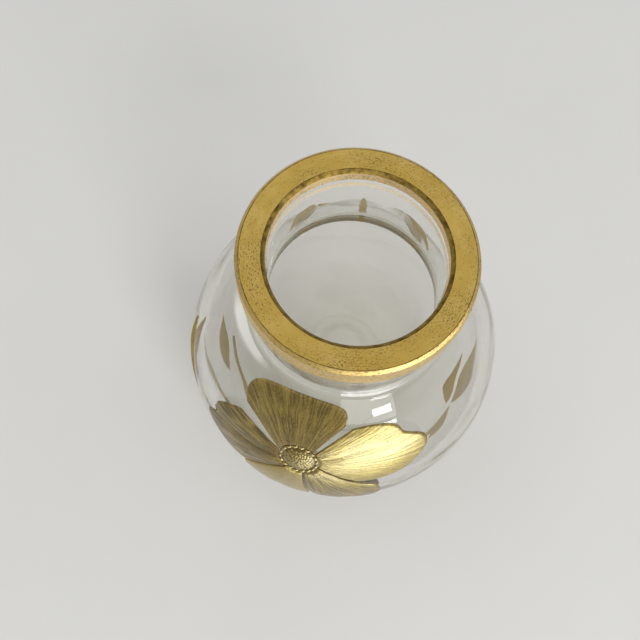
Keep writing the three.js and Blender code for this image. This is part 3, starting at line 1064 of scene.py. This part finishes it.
def raised_gold_material(name, gold, shade, roughness, pits, coat):
    """Raised gilding: bright along the strands and dull between them, with a few pits. On the flower, the
    darker tone in the grooves and hollows is partly painted shade.
    """
    material, shader = new_finish(name, {"Metallic": 1.0, "Coat Weight": coat, "Coat Roughness": 0.2})
    tree = material.node_tree
    where = object_place(tree)
    wear = add_wear(tree, where, pit_scale=3200.0, drift_scale=140.0, pits=pits)
    uneven = noise_value(tree, where, scale=1500.0, detail=3.0)
    shift = map_value(tree, uneven, 0.3, 0.7, to_low=-0.18, to_high=0.18)
    light = map_value(tree, combine(tree, "ADD", tone_of(tree), shift), 0.0, 1.0)
    base = mix_colours(tree, light, shade, gold)
    base = mix_colours(tree, wear["Pit Mask"], base, dimmed(shade, PIT_SHADE))
    tree.links.new(base, shader.inputs["Base Color"])
    rough = map_value(tree, light, 0.0, 1.0, to_low=roughness + DULLNESS, to_high=roughness)
    tree.links.new(rough, shader.inputs["Roughness"])
    height = combine(tree, "ADD", wear["Height"], uneven)
    add_bump(tree, height, shader, strength=0.2, distance=0.06 * MM)
    return material


def shared_material(name, **finish):
    """The raised gilding of that name, made the first time it is asked for."""
    return bpy.data.materials.get(name) or raised_gold_material(name, **finish)


def flower_material(flower):
    """The finish of the petals, the seed head and the stamens."""
    return shared_material(
        "flower_gilding", gold=flower.gold, shade=flower.shade, roughness=0.38, pits=0.25, coat=0.55
    )


def leaf_material(spray):
    """The finish of the leaves and stems."""
    return shared_material(
        "leaf_gilding", gold=spray.gold, shade=spray.shade, roughness=0.45, pits=0.35, coat=0.0
    )


def floor_material(stage):
    """A plain pale matt floor with a faint mottle."""
    material, shader = new_finish("pale_floor", {"Roughness": 0.9, "Specular IOR Level": 0.2})
    tree = material.node_tree
    mottle = noise_value(tree, object_place(tree), scale=14.0, detail=3.0)
    darker = dimmed(stage.floor_colour, FLOOR_MOTTLE)
    tree.links.new(mix_colours(tree, mottle, darker, stage.floor_colour), shader.inputs["Base Color"])
    return material


# Stage

SKY_HEIGHT = 0.7  # sine of the angle above which the sky is at its brightest
ROOM_WAY = (-0.42, -0.89, 0.16)
ROOM_EDGE, ROOM_CORE = 0.45, 0.9  # cosines of the angles off that way where the room starts and is full

SENSOR_WIDTH = 36.0  # millimetres, as is the lens
CAMERA_NEAR = 10 * MM

FLOWER_LIT = "flower_lit"
RIM_LIT = "rim_lit"
GLASS_LIT = "glass_lit"

# Lamps: the place of each one's middle, what it faces and its two sides

Softbox = namedtuple("Softbox", "name place target size")

MIDDLE = (0, 0, RIM_TOP / 2)
MOUTH = (0, 0, RIM_TOP)
LYING = 4 * MM  # height of a lamp that lies on the floor and faces up
WINDOW_UPPER = Softbox("window_upper", (0.1755, -0.3267, 0.1595), MIDDLE, (0.08, 0.038))
WINDOW_LOWER = Softbox("window_lower", (0.1911, -0.3364, 0.0782), MIDDLE, (0.084, 0.025))
CARD = Softbox("card", (0.07, -0.2, LYING), (0.07, -0.2, RIM_TOP), (0.2, 0.15))
FILL = Softbox("fill", (0.09, -0.172, 0.04), MIDDLE, (0.17, 0.07))
SILL = Softbox("sill", (0.0625, -0.185, LYING), (0.0625, -0.185, RIM_TOP), (0.125, 0.17))
SIDE = Softbox("side", (-0.372, -0.042, 0.145), MOUTH, (0.446, 0.098))
FRONT = Softbox("front", (0.137, -0.398, 0.174), MOUTH, (0.275, 0.127))
STRIP = Softbox("strip", (0.243, -0.311, 0.178), MOUTH, (0.77, 0.1))
KEY = Softbox("key", (0.38, -0.72, 0.75), MIDDLE, (0.35, 0.35))
LOWER_PANE = 0.65  # power of the lower pane, as a share of the upper one's


def make_floor(stage):
    """The floor that the vase stands on."""
    half = stage.floor_size / 2
    corners = [(-half, -half, 0), (half, -half, 0), (half, half, 0), (-half, half, 0)]
    floor = new_piece("floor", corners, [(0, 1, 2, 3)])
    floor.data.materials.append(floor_material(stage))


def make_world(stage):
    """Soft light: bright overhead and dimmer at the sides, with a dim warm room at the front left."""
    world = bpy.data.worlds.new("studio")
    world.use_nodes = True
    tree = world.node_tree
    tree.nodes.clear()
    output = add_node(tree, "ShaderNodeOutputWorld")
    background = add_node(tree, "ShaderNodeBackground", {"Strength": 1.0})
    way = add_node(tree, "ShaderNodeTexCoord").outputs["Generated"]
    height = map_value(tree, split(tree, way)["Z"], 0.0, SKY_HEIGHT)
    dome = mix_colours(tree, height, stage.horizon, stage.sky)
    towards_room = add_node(tree, "ShaderNodeVectorMath", {1: ROOM_WAY}, operation="DOT_PRODUCT")
    tree.links.new(way, towards_room.inputs[0])
    in_room = map_value(tree, towards_room.outputs["Value"], ROOM_EDGE, ROOM_CORE)
    tree.links.new(mix_colours(tree, in_room, dome, stage.room), background.inputs["Color"])
    tree.links.new(background.outputs["Background"], output.inputs["Surface"])
    bpy.context.scene.world = world


def receivers(name):
    """The collection of that name, of pieces that a lamp lights alone."""
    return bpy.data.collections.get(name) or bpy.data.collections.new(name)


def add_lamp(softbox, power):
    """A soft rectangular lamp that the camera doesn't see."""
    data = bpy.data.lights.new(softbox.name, "AREA")
    data.shape = "RECTANGLE"
    data.size, data.size_y = softbox.size
    data.energy = power
    lamp = bpy.data.objects.new(softbox.name, data)
    lamp.location = softbox.place
    facing = Vector(softbox.target) - Vector(softbox.place)
    lamp.rotation_euler = facing.to_track_quat("-Z", "Y").to_euler()
    lamp.visible_camera = False
    bpy.context.scene.collection.objects.link(lamp)
    return lamp


def feather(lamp, width):
    """Fades a lamp over that share of its sides, so that its mirror image has no hard outline."""
    lamp.data.use_nodes = True
    tree = lamp.data.node_tree
    across = split(tree, add_node(tree, "ShaderNodeNewGeometry").outputs["Parametric"])
    from_edges = [combine(tree, "PINGPONG", across[axis], 0.5) for axis in "XY"]
    fades = [map_value(tree, from_edge, 0.0, width) for from_edge in from_edges]
    tree.links.new(combine(tree, "MULTIPLY", *fades), tree.nodes["Emission"].inputs["Strength"])


def make_lamps(stage):
    """The window and the high softbox, and lamps for the flower, the glass or the rim alone."""
    for pane, part in ((WINDOW_UPPER, 1.0), (WINDOW_LOWER, LOWER_PANE)):
        lamp = add_lamp(pane, stage.window_power * part)
        lamp.visible_diffuse = False
        lamp.visible_transmission = False
    for softbox, power in ((CARD, stage.card_power), (FILL, stage.fill_power)):
        lamp = add_lamp(softbox, power)
        lamp.data.color = stage.daylight
        lamp.light_linking.receiver_collection = receivers(FLOWER_LIT)
    sill = add_lamp(SILL, stage.sill_power)
    side = add_lamp(SIDE, stage.side_power)
    side.rotation_euler.rotate_axis("Z", stage.side_roll)
    feather(side, stage.side_feather)
    front = add_lamp(FRONT, stage.front_power)
    for lamp in (sill, side, front):
        lamp.visible_transmission = False
        lamp.light_linking.receiver_collection = receivers(GLASS_LIT)
    strip = add_lamp(STRIP, stage.strip_power)
    strip.light_linking.receiver_collection = receivers(RIM_LIT)
    key = add_lamp(KEY, stage.key_power)
    key.visible_glossy = False
    key.visible_transmission = False


def make_camera(stage):
    """The camera, over the front of the rim and looking steeply down."""
    data = bpy.data.cameras.new("camera")
    data.lens = stage.camera_lens
    data.sensor_width = SENSOR_WIDTH
    data.clip_start = CAMERA_NEAR
    camera = bpy.data.objects.new("camera", data)
    turn = Matrix.Rotation(stage.camera_tilt, 4, "X") @ Matrix.Rotation(stage.camera_roll, 4, "Z")
    place = Vector(MOUTH) + Vector(stage.camera_offset)
    camera.matrix_world = Matrix.Translation(place) @ turn
    bpy.context.scene.collection.objects.link(camera)
    bpy.context.scene.camera = camera


# Operators


class VASE_OT_stage(bpy.types.Operator):
    """Set the floor, the light and the camera"""

    bl_idname = "vase.stage"
    bl_label = "Stage"

    def execute(self, context):
        stage = context.scene.vase.stage
        make_floor(stage)
        make_world(stage)
        make_lamps(stage)
        make_camera(stage)
        context.scene.view_settings.view_transform = "Standard"
        return {"FINISHED"}


class VASE_OT_glass(bpy.types.Operator):
    """Turn the glass body"""

    bl_idname = "vase.glass"
    bl_label = "Glass body"

    def execute(self, context):
        glass = context.scene.vase.glass
        wall_middle = glass.ball_radius - glass.wall / 2
        floor_middle = glass.floor / 2
        shoulder_height = shoulder_of(glass).z

        def wobble(at):
            inside = at.xy.length < wall_middle and floor_middle < at.z < shoulder_height
            return at.normalized() * (glass.ripple * noise.noise(at * RIPPLES) if inside else 0)

        piece = turned("glass_vessel", glass_profile(glass), wobble)
        receivers(GLASS_LIT).objects.link(piece)
        finish_piece(piece, "glass_body", glass_material(glass))
        return {"FINISHED"}


class VASE_OT_rim(bpy.types.Operator):
    """Gild the collar and the top of the bore"""

    bl_idname = "vase.rim"
    bl_label = "Rim gilding"

    def execute(self, context):
        settings = context.scene.vase
        glass, rim = settings.glass, settings.rim
        outline = lip_outline(glass, rim.thickness)
        bore = bore_radius(glass)
        near, far = bore - GILT_SUNK, bore + GILT_SUNK
        wash_foot = glass.lip_top - glass.rim_chamfer - rim.wash_depth
        outside = rounded([*outline, (near, wash_foot)], rim.edge_radius)
        inside = [(far, wash_foot), *lip_outline(glass, -GILT_SUNK)[::-1]]
        profile = [*outside, *inside, outside[0]]
        side_top = outline[1][1] - rim.edge_radius / 2
        bevel_edge, chamfer_edge = outline[2], outline[3]

        def closeness(point, corner):
            return max(0.0, 1 - (Vector(point) - Vector(corner)).length / rim.dirt_width)

        def tone(point):
            if point[0] <= far:
                return WASHED
            # The inner chamfer: painted shade
            if point[0] < chamfer_edge[0]:
                return CHAMFER_TONE + EDGE_TONE * closeness(point, chamfer_edge)
            # The collar's side: painted light
            if point[1] < side_top:
                return SIDE_TONE
            # A darker line along the bevel's edge
            edge_darkening = closeness(point, bevel_edge)
            # The bevel away from its edge line: painted light
            if point[0] > bevel_edge[0] and edge_darkening < BRIGHT_BEVEL:
                return BEVEL_TONE
            return edge_darkening

        piece = turned("gilt_rim", profile, tones=[tone(point) for point in profile])
        receivers(RIM_LIT).objects.link(piece)
        finish_piece(piece, "rim_gilding", rim_material(rim))
        line_top = wash_foot - rim.line_gap
        line_foot = line_top - rim.line_width
        corners = [(near, line_foot), (far, line_foot), (far, line_top), (near, line_top), (near, line_foot)]
        line = turned("gilt_bore_line", corners)
        line.data.materials.append(line_material(rim))
        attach(line, BODY)
        return {"FINISHED"}


class VASE_OT_petals(bpy.types.Operator):
    """Raise the five gilt petals"""

    bl_idname = "vase.petals"
    bl_label = "Petals"

    def execute(self, context):
        settings = context.scene.vase
        for seed, petal in enumerate(petals_of(settings.flower)):
            piece = make_petal(GILT + petal.name, settings.glass, settings.flower, petal, seed)
            if petal.lit:
                receivers(FLOWER_LIT).objects.link(piece)
            finish_piece(piece, petal.name, flower_material(settings.flower))
        return {"FINISHED"}


class VASE_OT_seed_head(bpy.types.Operator):
    """Raise the seed head and its ring of stamens"""

    bl_idname = "vase.seed_head"
    bl_label = "Seed head and stamens"

    def execute(self, context):
        settings = context.scene.vase
        for make, node in ((make_seed_head, "flower_centre"), (make_stamen_ring, "stamen_ring")):
            piece = make(GILT + node, settings.glass, settings.flower)
            receivers(FLOWER_LIT).objects.link(piece)
            finish_piece(piece, node, flower_material(settings.flower))
        return {"FINISHED"}


class VASE_OT_leaves(bpy.types.Operator):
    """Lay the gilt leaves and the bud"""

    bl_idname = "vase.leaves"
    bl_label = "Leaves"

    def execute(self, context):
        settings = context.scene.vase
        for leaf in (*LEAVES, *hung(settings.glass, settings.flower, BACK_LEAVES)):
            piece = make_leaf(GILT + leaf.name, settings.glass, settings.spray, leaf)
            finish_piece(piece, leaf.name, leaf_material(settings.spray))
        return {"FINISHED"}


class VASE_OT_stems(bpy.types.Operator):
    """Lay the gilt stems"""

    bl_idname = "vase.stems"
    bl_label = "Stems"

    def execute(self, context):
        settings = context.scene.vase
        for stem in (*STEMS, *hung(settings.glass, settings.flower, BACK_STEMS)):
            piece = make_stem(GILT + stem.name, settings.glass, settings.spray, stem)
            finish_piece(piece, stem.name, leaf_material(settings.spray))
        return {"FINISHED"}


STEPS = (
    VASE_OT_stage,
    VASE_OT_glass,
    VASE_OT_rim,
    VASE_OT_petals,
    VASE_OT_seed_head,
    VASE_OT_leaves,
    VASE_OT_stems,
)


class VASE_PT_sidebar(bpy.types.Panel):
    """Lists the steps that build the vase"""

    bl_label = "Vase"
    bl_idname = "VASE_PT_sidebar"
    bl_space_type = "VIEW_3D"
    bl_region_type = "UI"
    bl_category = "Vase"

    def draw(self, _context):
        for step in STEPS:
            self.layout.operator(step.bl_idname)


SETTINGS = (VaseGlass, VaseRim, VaseFlower, VaseSpray, VaseStage, VaseSettings)
CLASSES = (*SETTINGS, *STEPS, VASE_PT_sidebar)


def register():
    """Adds the vase's settings, operators and panel."""
    for kind in CLASSES:
        bpy.utils.register_class(kind)
    bpy.types.Scene.vase = PointerProperty(type=VaseSettings)


def unregister():
    """Takes them away again."""
    del bpy.types.Scene.vase
    for kind in reversed(CLASSES):
        bpy.utils.unregister_class(kind)


def main():
    """Builds the vase and its stage."""
    register()
    for step in STEPS:
        getattr(bpy.ops.vase, step.bl_idname.split(".")[1])()


if __name__ == "__main__":
    main()
